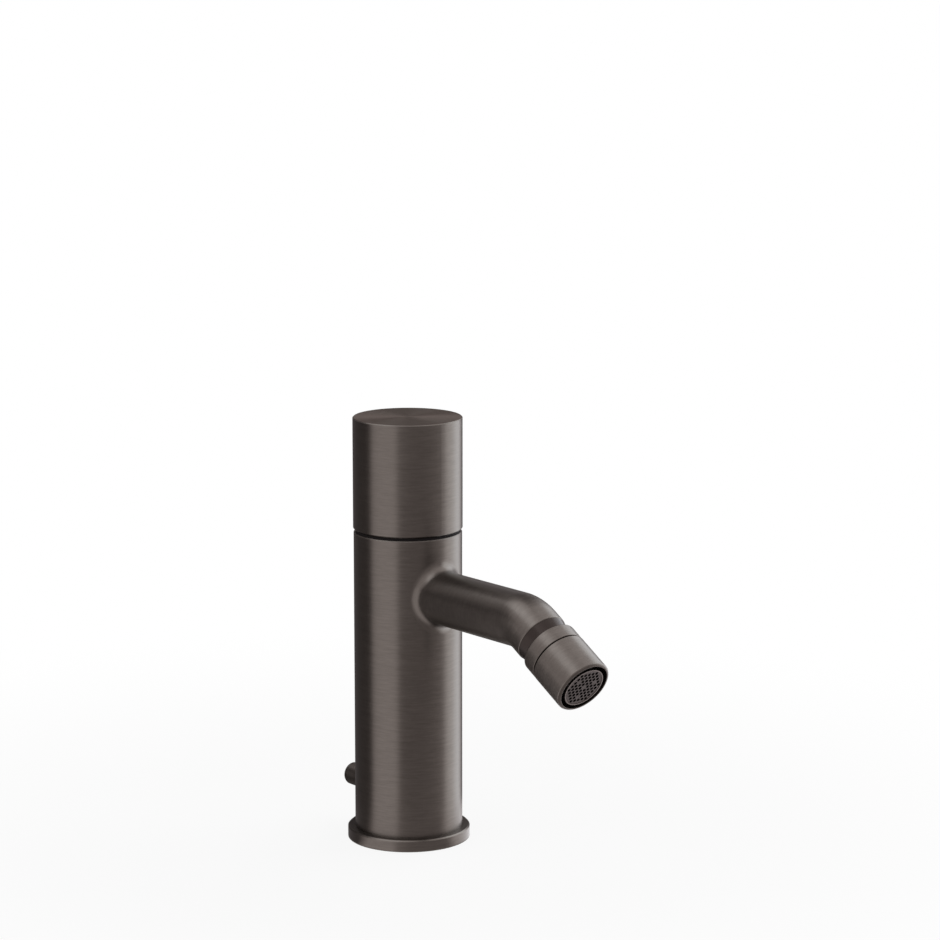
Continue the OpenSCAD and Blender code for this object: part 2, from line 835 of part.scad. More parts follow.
// Rows of hexagonal cells; the middle one and three of the outer ones stay closed
module aerator_screen() {
  rows = ceil(insert_bore_r / cell_pitch);
  reach = insert_bore_r - fit - cell_rim - (cell_pitch - cell_web) / 2;
  row_step = cell_pitch * sqrt(3) / 2;
  blind = [for (a = [0:120:240]) cell_pitch * (2 * turned(a) + turned(a + 60))];
  color(grey_plastic) at_socket() rotate([0, 0, 90]) difference() {
    disc(insert_bore_r - fit, screen_z, screen_top);
    for (i = [-rows:rows])
      for (j = [-rows - 1:rows + 1]) {
        p = [(j + (i % 2 == 0 ? 0 : 0.5)) * cell_pitch, i * row_step, 0];
        if (norm(p) < reach && min([for (q = concat([[0, 0, 0]], blind)) norm(p - q)]) > cell_pitch / 2)
          translate(p + [0, 0, screen_z - over]) rotate([0, 0, 30])
            cylinder(r = (cell_pitch - cell_web) / sqrt(3), h = screen_h + 2 * over, $fn = 6);
      }
  }
}

module waste_rod() {
  color(steel) translate([rod_x, 0, 0]) difference() {
    disc(rod_r, rod_end, rod_top);
    disc(rod_tap_d / 2, rod_end - over, rod_end + rod_tap_depth);
  }
}

module waste_slider() {
  color(brass) difference() {
    translate([-slider_back, -slider_w / 2, lift_z - slider_h / 2])
      cube([slider_back + slider_front, slider_w, slider_h]);
    translate([rod_x, 0, lift_z - slider_h]) cylinder(r = rod_r + fit, h = 2 * slider_h);
    translate([rod_x - rod_r, 0, lift_z]) rotate([0, -90, 0]) cylinder(r = pin_r + fit, h = column_r);
  }
}

module waste_pin() {
  color(steel) translate([pin_x, 0, lift_z]) rotate([0, -90, 0])
    cylinder(r = pin_r, h = pin_x - lift_x + pin_in_knob);
}

module waste_knob() {
  color(gunmetal) translate([lift_x, 0, lift_z]) rotate([0, -90, 0]) difference() {
    rotate_extrude() {
      square([lift_d / 2, lift_len - lift_round]);
      square([lift_d / 2 - lift_round, lift_len]);
      translate([lift_d / 2 - lift_round, lift_len - lift_round]) circle(r = lift_round);
    }
    translate([0, 0, -over]) cylinder(r = pin_r + fit, h = pin_in_knob + over);
  }
}

body_column();
base_ring();
base_gasket();
rod_guide();
waterway_core();
core_orings();
neck_ring();
cartridge_base();
cartridge_port_seals();
cartridge_fixed_disc();
cartridge_housing();
spindle_oring();
cartridge_nut();
cartridge_moving_disc();
cartridge_spindle();
hot_stop_ring();
handle_hub();
handle_grub_screw();
handle_shell();
handle_screw_cap();
socket_nut();
ball_rear_seat();
ball_slip_ring();
mouth_glide_ring();
ball_stem();
swivel_ring();
swivel_sleeve();
aerator_washer();
aerator_housing();
flow_regulator();
aerator_screen();
waste_rod();
waste_slider();
waste_pin();
waste_knob();
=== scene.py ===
import math

import bpy
import numpy as np
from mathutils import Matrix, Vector


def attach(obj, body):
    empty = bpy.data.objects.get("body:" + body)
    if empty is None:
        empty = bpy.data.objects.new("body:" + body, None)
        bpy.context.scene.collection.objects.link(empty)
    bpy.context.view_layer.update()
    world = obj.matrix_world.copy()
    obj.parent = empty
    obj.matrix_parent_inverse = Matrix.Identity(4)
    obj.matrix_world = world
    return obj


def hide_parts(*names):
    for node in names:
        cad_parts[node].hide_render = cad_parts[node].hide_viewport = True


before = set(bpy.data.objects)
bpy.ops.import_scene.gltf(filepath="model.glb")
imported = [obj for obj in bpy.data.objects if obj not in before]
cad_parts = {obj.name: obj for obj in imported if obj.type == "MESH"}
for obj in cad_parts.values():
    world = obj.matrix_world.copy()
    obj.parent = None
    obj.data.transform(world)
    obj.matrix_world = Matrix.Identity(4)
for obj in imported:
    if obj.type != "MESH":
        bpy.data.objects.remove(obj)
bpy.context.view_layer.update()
MM = 0.001

# Column and spout in millimetres, as the CAD model has them
COLUMN_R = 22.5
COLUMN_TOP = 130.7
BASE_H = 4.9
BORE_R = 19.5
RIM_R = 20.6
RIM_CHAMFER = 0.35
RIM_DEPTH = 3.0
SPOUT_R = 11.1
SPOUT_Z = 106.3
SPOUT_RUN = 73.0
BEND_R = 18.75
BEND = math.radians(30)
TAIL = 5.6
FILLET = 5.0
WATERWAY_R = 6.5
SOCKET_THREAD_R = 9.0
SOCKET_DEPTH = 9.0
MOUTH_EDGE = 0.6
SLOT_R = 2.3
SLOT_LOW = 18.0
SLOT_HIGH = 30.0
HANDLE_TOP = 178.6

BEND_LENGTH = BEND_R * BEND
SPOUT_LENGTH = SPOUT_RUN + BEND_LENGTH + TAIL
WATER_WAY = Vector((math.cos(BEND), 0, -math.sin(BEND)))
BALL = Vector((
    SPOUT_RUN + BEND_R * math.sin(BEND) + TAIL * math.cos(BEND),
    0,
    SPOUT_Z - BEND_R * (1 - math.cos(BEND)) - TAIL * math.sin(BEND),
))


# Camera

# The focal length is in pixels of the photograph's frame, and the places are in metres
SENSOR = 36
IMAGE_PX = 940
FOCAL_PX = 3172
CAMERA_TURN = math.radians(51.5)
CAMERA_PITCH = math.radians(10.47)
CAMERA_AWAY = 1.2878
CAMERA_ASIDE = 0.02574
CAMERA_Z = 0.3942
TO_CAMERA = Vector((math.sin(CAMERA_TURN), -math.cos(CAMERA_TURN), 0))
TO_RIGHT = Vector((math.cos(CAMERA_TURN), math.sin(CAMERA_TURN), 0))

camera_data = bpy.data.cameras.new("camera")
camera_data.sensor_width = SENSOR
camera_data.lens = SENSOR * FOCAL_PX / IMAGE_PX
camera_data.clip_start = 0.01
camera_data.clip_end = 60
camera = bpy.data.objects.new("camera", camera_data)
camera.location = TO_CAMERA * CAMERA_AWAY + TO_RIGHT * CAMERA_ASIDE + Vector((0, 0, CAMERA_Z))
camera.rotation_euler = (math.pi / 2 - CAMERA_PITCH, 0, CAMERA_TURN)
bpy.context.collection.objects.link(camera)
bpy.context.scene.camera = camera
bpy.context.scene.view_settings.view_transform = "Standard"


# Surfaces

# Steps round a skin and along a rounded edge, and how finely points are told apart
SEGMENTS = 128
ROUND_STEPS = 5
WELDS_PER_MM = 1e4
TINY = 1e-9


class Row:
    """One row of a surface: points in millimetres, normals, the way that reflections are drawn
    out, and where the brushing is sampled."""

    def __init__(self, point, normal, along, streak):
        shape = np.asarray(point).shape
        self.point, self.normal, self.along, self.streak = (
            np.broadcast_to(np.asarray(values, float), shape) for values in (point, normal, along, streak)
        )


class Skin:
    """Faces between rows, welded where they meet, with a normal at each corner."""

    def __init__(self):
        self.places = {}
        self.verts = []
        self.faces = []
        self.normals = []
        self.alongs = []
        self.streaks = []

    def vertex(self, point):
        key = tuple(int(round(c * WELDS_PER_MM)) for c in point)
        if key not in self.places:
            self.places[key] = len(self.verts)
            self.verts.append(point * MM)
        return self.places[key]

    def face(self, corners):
        """One face with its normals outward; corners that fall together count once."""
        ids = []
        kept = []
        for row, i in corners:
            found = self.vertex(row.point[i])
            if found not in ids:
                ids.append(found)
                kept.append((row, i))
        if len(ids) < 3:
            return
        points = [row.point[i] for row, i in kept]
        facing = np.cross(points[1] - points[0], points[2] - points[0])
        if len(points) == 4:
            facing = facing + np.cross(points[2] - points[0], points[3] - points[0])
        if facing @ sum(row.normal[i] for row, i in kept) < 0:
            ids.reverse()
            kept.reverse()
        self.faces.append(ids)
        for row, i in kept:
            self.normals.append(row.normal[i])
            self.alongs.append(row.along[i])
            self.streaks.append(row.streak[i])

    def strip(self, near, far, skip=()):
        """Faces all round between two closed rows, without those that are skipped."""
        count = len(near.point)
        for i in range(count):
            if i not in skip:
                j = (i + 1) % count
                self.face([(near, i), (near, j), (far, j), (far, i)])

    def strips(self, rows):
        for near, far in zip(rows, rows[1:]):
            self.strip(near, far)

    def build(self, name, material):
        mesh = bpy.data.meshes.new(name)
        mesh.from_pydata(self.verts, [], self.faces)
        mesh.polygons.foreach_set("use_smooth", [True] * len(mesh.polygons))
        mesh.normals_split_custom_set([Vector(n).normalized() for n in self.normals])
        for label, values in (("along", self.alongs), ("streak", self.streaks)):
            layer = mesh.attributes.new(label, "FLOAT_VECTOR", "CORNER")
            layer.data.foreach_set("vector", np.asarray(values, np.float32).ravel())
        mesh.materials.append(material)
        piece = bpy.data.objects.new(name, mesh)
        bpy.context.collection.objects.link(piece)
        return piece


def rounded(corners):
    """Points, normals and ways along a profile of (r, z, rounding), with the solid on its left."""
    found = []
    count = len(corners)
    for k in range(count):
        before, here, after = (np.array(corners[(k + s) % count][:2], float) for s in (-1, 0, 1))
        radius = corners[k][2]
        into = (here - before) / np.linalg.norm(here - before)
        away = (after - here) / np.linalg.norm(after - here)
        n_in = np.array([into[1], -into[0]])
        n_out = np.array([away[1], -away[0]])
        turn = math.atan2(into[0] * away[1] - into[1] * away[0], into @ away)
        if radius == 0:
            found += [(here, n_in, into), (here, n_out, away)]
            continue
        side = math.copysign(1, turn)
        centre = here - into * radius * math.tan(abs(turn) / 2) - n_in * radius * side
        for i in range(ROUND_STEPS + 1):
            c = math.cos(turn * i / ROUND_STEPS)
            s = math.sin(turn * i / ROUND_STEPS)
            normal = np.array([n_in[0] * c - n_in[1] * s, n_in[0] * s + n_in[1] * c])
            way = np.array([-normal[1], normal[0]])
            found.append((centre + normal * radius * side, normal, way))
    return found


def turned(corners, origin, axis):
    """The skin of a solid turned round an axis from a closed profile."""
    skin = Skin()
    axis = np.array(axis, float)
    first = np.array([0.0, 1.0, 0.0])
    second = np.cross(axis, first)
    angles = np.arange(SEGMENTS) * math.tau / SEGMENTS
    outward = np.outer(np.cos(angles), first) + np.outer(np.sin(angles), second)
    flat = np.stack([np.cos(angles), np.sin(angles), np.zeros(SEGMENTS)], 1)
    rows = []
    travelled = 0.0
    found = rounded(corners)
    for k, (point, normal, way) in enumerate(found):
        if k:
            travelled += np.linalg.norm(point - found[k - 1][0])
        rows.append(Row(
            np.array(origin) + outward * point[0] + axis * point[1],
            outward * normal[0] + axis * normal[1],
            outward * way[0] + axis * way[1],
            flat + [0, 0, travelled * MM],
        ))
    rows.append(rows[0])
    for near, far in zip(rows, rows[1:]):
        if np.abs(near.point - far.point).max() > 1 / WELDS_PER_MM:
            skin.strip(near, far)
    return skin


# Node helpers

def new_material(name):
    material = bpy.data.materials.new(name)
    material.use_nodes = True
    tree = material.node_tree
    shader = tree.nodes["Principled BSDF"]
    return material, tree, shader


def connect(tree, value, socket):
    """Link what another node gives, or set a plain value."""
    if isinstance(value, bpy.types.NodeSocket):
        tree.links.new(value, socket)
    else:
        socket.default_value = value


def vector_math(tree, operation, a, b=None, scale=None, output="Vector"):
    node = tree.nodes.new("ShaderNodeVectorMath")
    node.operation = operation
    connect(tree, a, node.inputs[0])
    if b is not None:
        connect(tree, b, node.inputs[1])
    if scale is not None:
        connect(tree, scale, node.inputs["Scale"])
    return node.outputs[output]


def number_math(tree, operation, a, b):
    node = tree.nodes.new("ShaderNodeMath")
    node.operation = operation
    connect(tree, a, node.inputs[0])
    connect(tree, b, node.inputs[1])
    return node.outputs[0]


def map_range(tree, value, source, target, interpolation="LINEAR"):
    node = tree.nodes.new("ShaderNodeMapRange")
    node.interpolation_type = interpolation
    for label, number in zip(("From Min", "From Max", "To Min", "To Max"), (*source, *target)):
        node.inputs[label].default_value = number
    tree.links.new(value, node.inputs["Value"])
    return node.outputs[0]


def spread(tree, pattern, low, high):
    """A pattern stretched from low to high over the range where a noise mostly lies."""
    return map_range(tree, pattern, NOISE_RANGE, (low, high))


def noise(tree, vector, scale, detail, roughness=0.5):
    node = tree.nodes.new("ShaderNodeTexNoise")
    node.inputs["Scale"].default_value = scale
    node.inputs["Detail"].default_value = detail
    node.inputs["Roughness"].default_value = roughness
    tree.links.new(vector, node.inputs["Vector"])
    return node.outputs[0]


def colour_between(tree, factor, low, high):
    node = tree.nodes.new("ShaderNodeMix")
    node.data_type = "RGBA"
    node.inputs["A"].default_value = (*low, 1)
    node.inputs["B"].default_value = (*high, 1)
    tree.links.new(factor, node.inputs["Factor"])
    return node.outputs["Result"]


def object_place(tree):
    return tree.nodes.new("ShaderNodeTexCoord").outputs["Object"]


def corner_value(tree, name):
    node = tree.nodes.new("ShaderNodeAttribute")
    node.attribute_name = name
    return node


def vary_surface(tree, shader, pattern, tone, share, roughness, swing):
    """Colour and roughness that swing round their middle values with a pattern."""
    low = [c * (1 - share) for c in tone]
    high = [c * (1 + share) for c in tone]
    tree.links.new(
        colour_between(tree, spread(tree, pattern, 0, 1), low, high), shader.inputs["Base Color"],
    )
    tree.links.new(
        spread(tree, pattern, roughness - swing, roughness + swing), shader.inputs["Roughness"],
    )


def set_bump(tree, shader, height, strength, distance):
    bump = tree.nodes.new("ShaderNodeBump")
    bump.inputs["Strength"].default_value = strength
    bump.inputs["Distance"].default_value = distance
    tree.links.new(height, bump.inputs["Height"])
    tree.links.new(bump.outputs[0], shader.inputs["Normal"])


def set_tangent(tree, shader, way):
    to_world = tree.nodes.new("ShaderNodeVectorTransform")
    to_world.vector_type = "VECTOR"
    to_world.convert_from = "OBJECT"
    to_world.convert_to = "WORLD"
    tree.links.new(way, to_world.inputs[0])
    tree.links.new(to_world.outputs[0], shader.inputs["Tangent"])


# Finishes

WHITE = (1, 1, 1)
NOISE_RANGE = (0.3, 0.7)

# How often the streaks change round the axis and, in a metre, across them, and the share of that
# at which the broader bands change
STREAK_ROUND = 7
STREAK_ACROSS = 3400
BAND_SHARE = (0.35, 0.35, 0.4)

# How rough brushed metal is, how far it draws reflections out, and how strongly its grain shows
GLOSS = 0.34
STRETCH = 0.6
GRAIN = 2.1
QUARTER_TURN = 0.25

# What a grain of 1 does to the tone and the bump, the swing of the roughness, and the bump's depth
TONE_SWING = 0.06
BUMP = 0.12
GLOSS_SWING = 0.03
BUMP_DEPTH = 0.00005

# The spout is brushed less than the column. The knob's turned top is brushed more, and its reflection
# is tinted darker there, a painted shade that darkens the top. It is what lies less than this many
# millimetres under the top.
SPOUT_STRETCH = 0.15
TOP_STRETCH = 0.85
TOP_SHADE_TINT = (0.72, 0.66, 0.62)
TOP_DEPTH = 0.1

# Moulded stock: grains in a metre, and how they show
MOULD_GRAIN = 900
MOULD_TONE_SWING = 0.05
MOULD_GLOSS_SWING = 0.04
MOULD_BUMP = 0.2
MOULD_BUMP_DEPTH = 0.00001


def finish_brushing(tree, shader, fine, tone, gloss, grain):
    """Streaks and broader bands in the colour, the roughness and the bump."""
    coarse = vector_math(tree, "MULTIPLY", fine, BAND_SHARE)
    streaks = noise(tree, fine, 1.0, detail=3, roughness=0.6)
    bands = noise(tree, coarse, 1.0, detail=1)
    mixed = number_math(tree, "MULTIPLY", number_math(tree, "ADD", streaks, bands), 0.5)
    vary_surface(tree, shader, mixed, tone, TONE_SWING * grain, gloss, GLOSS_SWING)
    set_bump(tree, shader, streaks, BUMP * grain, BUMP_DEPTH)
    shader.inputs["Metallic"].default_value = 1


def brushed(name, tone, origin=(0, 0, 0), axis=(0, 0, 1), gloss=GLOSS, stretch=STRETCH, grain=GRAIN,
            top=None):
    """Metal brushed in circles round an axis: fine streaks round it, and reflections drawn out
    along it. The origin and the height of a turned top are in millimetres."""
    material, tree, shader = new_material(name)
    axis = Vector(axis).normalized()
    place = vector_math(tree, "SUBTRACT", object_place(tree), Vector(origin) * MM)
    along = vector_math(tree, "DOT_PRODUCT", place, axis, output="Value")
    outward = vector_math(tree, "SUBTRACT", place, vector_math(tree, "SCALE", axis, scale=along))
    around = vector_math(tree, "CROSS_PRODUCT", axis, outward)
    set_tangent(tree, shader, vector_math(tree, "NORMALIZE", around))

    # On the sides the streaks change along the axis, on the ends with the distance from it
    radius = vector_math(tree, "LENGTH", outward, output="Value")
    travelled = tree.nodes.new("ShaderNodeCombineXYZ")
    tree.links.new(number_math(tree, "ADD", along, radius), travelled.inputs["Z"])
    across = vector_math(tree, "MULTIPLY", travelled.outputs[0], (0, 0, STREAK_ACROSS))
    direction = vector_math(tree, "NORMALIZE", outward)
    fine = vector_math(tree, "ADD", across, vector_math(tree, "SCALE", direction, scale=STREAK_ROUND))
    finish_brushing(tree, shader, fine, tone, gloss, grain)
    shader.inputs["Anisotropic"].default_value = stretch
    shader.inputs["Anisotropic Rotation"].default_value = QUARTER_TURN
    if top is not None:
        # On the turned top the reflection is tinted darker: painted shade that darkens the top
        on_top = number_math(tree, "GREATER_THAN", along, (top - TOP_DEPTH) * MM)
        top_shade = colour_between(tree, on_top, WHITE, TOP_SHADE_TINT)
        tree.links.new(top_shade, shader.inputs["Specular Tint"])
        tree.links.new(spread(tree, on_top, stretch, TOP_STRETCH), shader.inputs["Anisotropic"])
    return material


def brushed_skin(name, tone):
    """The same brushing on a surface that says itself which way it runs."""
    material, tree, shader = new_material(name)
    set_tangent(tree, shader, corner_value(tree, "along").outputs["Vector"])
    streak = corner_value(tree, "streak").outputs["Vector"]
    fine = vector_math(tree, "MULTIPLY", streak, (STREAK_ROUND, STREAK_ROUND, STREAK_ACROSS))
    finish_brushing(tree, shader, fine, tone, GLOSS, GRAIN)

    # From the column out through the fillet the reflections are drawn out less and less
    flat = vector_math(tree, "MULTIPLY", object_place(tree), (1, 1, 0))
    away = vector_math(tree, "LENGTH", flat, output="Value")
    fade = map_range(tree, away, (COLUMN_R * MM, (COLUMN_R + FILLET) * MM), (STRETCH, SPOUT_STRETCH))
    tree.links.new(fade, shader.inputs["Anisotropic"])
    return material


def plain(name, tone, roughness, metallic=0.0, shine=0.5):
    """Moulded stock with a fine even grain."""
    material, tree, shader = new_material(name)
    grain = noise(tree, object_place(tree), MOULD_GRAIN, detail=3)
    vary_surface(tree, shader, grain, tone, MOULD_TONE_SWING, roughness, MOULD_GLOSS_SWING)
    set_bump(tree, shader, grain, MOULD_BUMP, MOULD_BUMP_DEPTH)
    shader.inputs["Metallic"].default_value = metallic
    shader.inputs["Specular IOR Level"].default_value = shine
    return material


# Materials

GUNMETAL = (0.125, 0.111, 0.099)
# Painted shade: the neck's tone is darkened for the recess between the spout's end and the swivel ring
NECK_SHADE_TONE = (0.037, 0.030, 0.027)
BRASS = (0.55, 0.40, 0.18)
STEEL = (0.45, 0.46, 0.47)

gunmetal_column = brushed("brushed_gunmetal_column", GUNMETAL)
gunmetal_handle = brushed("brushed_gunmetal_handle", GUNMETAL, top=HANDLE_TOP)
gunmetal_mouth = brushed("brushed_gunmetal_mouth", GUNMETAL, BALL, WATER_WAY)
gunmetal_lift = brushed("brushed_gunmetal_lift", GUNMETAL, (0, 0, SLOT_LOW), (1, 0, 0))
gunmetal_skin = brushed_skin("brushed_gunmetal_skin", GUNMETAL)
# Painted shade: the neck between the spout's end and the swivel ring gets a much darker tone; its smoother,
# unbrushed finish is its own
neck_shade_gunmetal = brushed(
    "smooth_neck_shade_gunmetal", NECK_SHADE_TONE, BALL, WATER_WAY, gloss=0.24, stretch=0, grain=0.5,
)
brass = brushed("turned_brass", BRASS, stretch=0.4)
brass_mouth = brushed("turned_brass_mouth", BRASS, BALL, WATER_WAY, stretch=0.4)
steel = brushed("drawn_steel", STEEL, gloss=0.3, stretch=0.4)
rubber = plain("black_rubber", (0.02, 0.02, 0.021), 0.6)
acetal = plain("acetal", (0.66, 0.63, 0.55), 0.4)
ceramic = plain("ceramic", (0.75, 0.72, 0.66), 0.25)
dark_plastic = plain("dark_plastic", (0.010, 0.008, 0.008), 0.7, shine=0.1)
# Painted highlight: the housing's tone is raised above the screen's so that a light ring shows round the
# insert's rim; both are plated plastic
highlight_housing_plastic = plain("plated_plastic", (0.26, 0.235, 0.22), 0.3, metallic=1.0)
screen_plastic = plain("dark_plated_plastic", (0.115, 0.102, 0.097), 0.3, metallic=1.0)

FINISH = {
    gunmetal_column: ["body_column", "base_ring"],
    gunmetal_handle: ["handle_shell"],
    gunmetal_mouth: ["swivel_ring", "swivel_sleeve"],
    neck_shade_gunmetal: ["socket_nut"],
    gunmetal_lift: ["waste_knob"],
    brass: ["waterway_core", "cartridge_nut", "cartridge_spindle", "handle_hub", "waste_slider"],
    brass_mouth: ["ball_stem"],
    steel: ["handle_grub_screw", "waste_rod", "waste_pin"],
    rubber: ["base_gasket", "core_orings", "cartridge_port_seals", "spindle_oring", "aerator_washer"],
    acetal: [
        "rod_guide", "cartridge_base", "hot_stop_ring", "ball_rear_seat", "ball_slip_ring",
        "mouth_glide_ring", "flow_regulator",
    ],
    ceramic: ["cartridge_fixed_disc", "cartridge_moving_disc"],
    dark_plastic: ["neck_ring", "cartridge_housing", "handle_screw_cap"],
    highlight_housing_plastic: ["aerator_housing"],
    screen_plastic: ["aerator_screen"],
}
for finish, names in FINISH.items():
    for name in names:
        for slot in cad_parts[name].material_slots:
            slot.material = finish


# Column and spout in one smooth skin

# The column's wall is a grid. It leaves a rectangle open round the spout's root and another round
# the lift pin's slot, where rings close up to the hole. ROOT_HALF, SLOT_FIRST and SLOT_LAST count
# the grid's steps round the column.
TURN_STEP = math.tau / SEGMENTS
ROOT_HALF = 16
ROOT_LEVELS = 32
ROOT_LOW = 84.0
ROOT_HIGH = 128.5
ROOT_HIGH_INSIDE = 127.0
ROOT_SAMPLES = 2880
SLOT_FIRST = 60
SLOT_LAST = 68
SLOT_LEVELS = 16
SLOT_FRAME = (12.0, 36.0)
FOOT_Z = 8.5
WALL_LEVELS = 8
HOLE_RINGS = 8
FILLET_STEPS = 12
RUN_STEPS = 6
BEND_STEPS = 16
EDGE_STEPS = 4
INSIDE_STEPS = 10

# Where the brushing is sampled: the spout lies this far aside from the column, and the fillet this
# far along the spout, in metres, with its run back towards the root
SPOUT_STREAK = 5
FILLET_STREAK = 0.02
FILLET_STREAK_RUN = 0.008


def around_column(radius, turns, levels, inward=False):
    turns, levels = np.broadcast_arrays(turns, levels)
    flat = np.stack([np.cos(turns), np.sin(turns), np.zeros(len(turns))], 1)
    up = np.stack([np.zeros(len(turns)), np.zeros(len(turns)), levels], 1)
    return Row(flat * radius + up, -flat if inward else flat, (0, 0, 1), flat + up * MM)


def frame_of(first, last, low, high, levels):
    """Turns and levels of the points on the edge of a rectangle of a column's grid, in order."""
    across = np.arange(first, last + 1) * TURN_STEP
    upward = np.linspace(low, high, levels + 1)
    turns = np.concatenate([
        across[:-1], np.full(levels, across[-1]), across[:0:-1], np.full(levels, across[0]),
    ])
    heights = np.concatenate([
        np.full(len(across) - 1, low), upward[:-1], np.full(len(across) - 1, high), upward[:0:-1],
    ])
    return turns, heights


def roll_centre(t):
    """Centre of the ball that rolls round the root and leaves the fillet."""
    y = (SPOUT_R + FILLET) * np.sin(t)
    return np.stack([
        np.sqrt((COLUMN_R + FILLET) ** 2 - y * y), y, SPOUT_Z + (SPOUT_R + FILLET) * np.cos(t),
    ], 1)


def root_edge(t):
    """Turn and level of the root fillet's edge on the column."""
    centre = roll_centre(t)
    return np.arctan2(centre[:, 1], centre[:, 0]), centre[:, 2]


def root_angles(edge_turns, edge_levels):
    """For each point of the frame round the root, the angle round the spout that lies towards it."""
    dense = np.linspace(0, math.tau, ROOT_SAMPLES + 1)
    turns, levels = root_edge(dense)
    bearing = np.unwrap(np.arctan2(turns * COLUMN_R, levels - SPOUT_Z))
    wanted = np.arctan2(edge_turns * COLUMN_R, edge_levels - SPOUT_Z) % math.tau
    return np.interp(wanted, bearing, dense)


def close_round(skin, radius, inner, outer, inward=False, power=1.3):
    """Rings on a column between the edge of a hole and the frame round it, closer together by the
    hole where the power is over 1."""
    rows = []
    for i in range(HOLE_RINGS + 1):
        share = (i / HOLE_RINGS) ** power
        rows.append(around_column(
            radius,
            inner[0] + (outer[0] - inner[0]) * share,
            inner[1] + (outer[1] - inner[1]) * share,
            inward,
        ))
    skin.strips(rows)


def column_wall(skin, radius, top, root_high, inward=False):
    """The grid of a column's wall, without the frames round the root and the slot."""
    levels = np.concatenate([
        [BASE_H, FOOT_Z],
        np.linspace(*SLOT_FRAME, SLOT_LEVELS + 1),
        np.linspace(SLOT_FRAME[1], ROOT_LOW, WALL_LEVELS + 1)[1:],
        np.linspace(ROOT_LOW, root_high, ROOT_LEVELS + 1)[1:],
        [top],
    ])
    turns = np.arange(SEGMENTS) * TURN_STEP
    for low, high in zip(levels, levels[1:]):
        middle = (low + high) / 2
        skip = set()
        if ROOT_LOW < middle < root_high:
            skip.update(i % SEGMENTS for i in range(-ROOT_HALF, ROOT_HALF))
        if SLOT_FRAME[0] < middle < SLOT_FRAME[1]:
            skip.update(range(SLOT_FIRST, SLOT_LAST))
        near = around_column(radius, turns, low, inward)
        skin.strip(near, around_column(radius, turns, high, inward), skip)


def spout_row(t, distance, radius, inward=False):
    """A ring round the spout, so far along its centreline from the column's axis."""
    distance = np.broadcast_to(np.asarray(distance, float), t.shape)
    angle = np.clip((distance - SPOUT_RUN) / BEND_R, 0, BEND)
    tail = np.clip(distance - SPOUT_RUN - BEND_LENGTH, 0, None)
    x = np.minimum(distance, SPOUT_RUN) + BEND_R * np.sin(angle) + tail * np.cos(angle)
    z = SPOUT_Z - BEND_R * (1 - np.cos(angle)) - tail * np.sin(angle)
    none = np.zeros(len(t))
    centre = np.stack([x, none, z], 1)
    way = np.stack([np.cos(angle), none, -np.sin(angle)], 1)
    up = np.stack([np.sin(angle), none, np.cos(angle)], 1)
    outward = up * np.cos(t)[:, None] + np.outer(np.sin(t), [0, 1, 0])
    streak = np.stack([np.cos(t) + SPOUT_STREAK, np.sin(t), distance * MM], 1)
    return Row(centre + outward * radius, -outward if inward else outward, way, streak)


def mouth_row(t, radius, depth, normal_out, normal_forward):
    """A ring near the spout's mouth; depth is how far inside the mouth it lies."""
    ring = spout_row(t, SPOUT_LENGTH - depth, radius)
    outward = spout_row(t, SPOUT_LENGTH, 1).normal
    way = np.array(WATER_WAY)
    return Row(
        ring.point, outward * normal_out + way * normal_forward,
        outward * normal_forward - way * normal_out, ring.streak,
    )


def slot_edge(turns, levels):
    """Where the rays from the slot's middle through these places cross the slot's edge."""
    middle = (SLOT_LOW + SLOT_HIGH) / 2
    half = (SLOT_HIGH - SLOT_LOW) / 2
    y = -(turns - math.pi) * COLUMN_R
    z = levels - middle
    length = np.hypot(y, z)
    y, z = y / length, z / length
    straight = SLOT_R / np.maximum(np.abs(y), TINY)
    lift = np.sign(z) * half
    round_end = lift * z + np.sqrt(np.maximum(SLOT_R ** 2 - (lift * y) ** 2, 0))
    reach = np.where(straight * np.abs(z) <= half, straight, round_end)
    y, z = y * reach, z * reach
    beyond = np.where(np.abs(z) > half, z - np.sign(z) * half, 0)
    facing = np.stack([np.zeros(len(y)), -y, -beyond], 1)
    facing /= np.linalg.norm(facing, axis=1)[:, None]
    return y, z + middle, facing


def add_root(skin, t, frames):
    """The wall round the spout's root, outside and in, and the fillet that rolls round it."""
    close_round(skin, COLUMN_R, root_edge(t), frames[0])
    way_in = (np.arcsin(WATERWAY_R * np.sin(t) / BORE_R), SPOUT_Z + WATERWAY_R * np.cos(t))
    close_round(skin, BORE_R, way_in, frames[1], inward=True)

    centre = roll_centre(t)
    to_spout = np.stack([np.zeros(len(t)), -np.sin(t), -np.cos(t)], 1)
    to_column = -centre / (COLUMN_R + FILLET)
    to_column[:, 2] = 0
    opening = np.arccos(np.sum(to_spout * to_column, axis=1))[:, None]
    rows = []
    for i in range(FILLET_STEPS + 1):
        k = i / FILLET_STEPS
        ray = to_spout * np.sin((1 - k) * opening) + to_column * np.sin(k * opening)
        ray = ray / np.sin(opening)
        slope = to_column * np.cos(k * opening) - to_spout * np.cos((1 - k) * opening)
        slope = slope / np.sin(opening)
        streak = spout_row(t, 0, 1).streak + [0, 0, FILLET_STREAK - FILLET_STREAK_RUN * k]
        rows.append(Row(centre + ray * FILLET, -ray, slope, streak))
    skin.strips(rows)


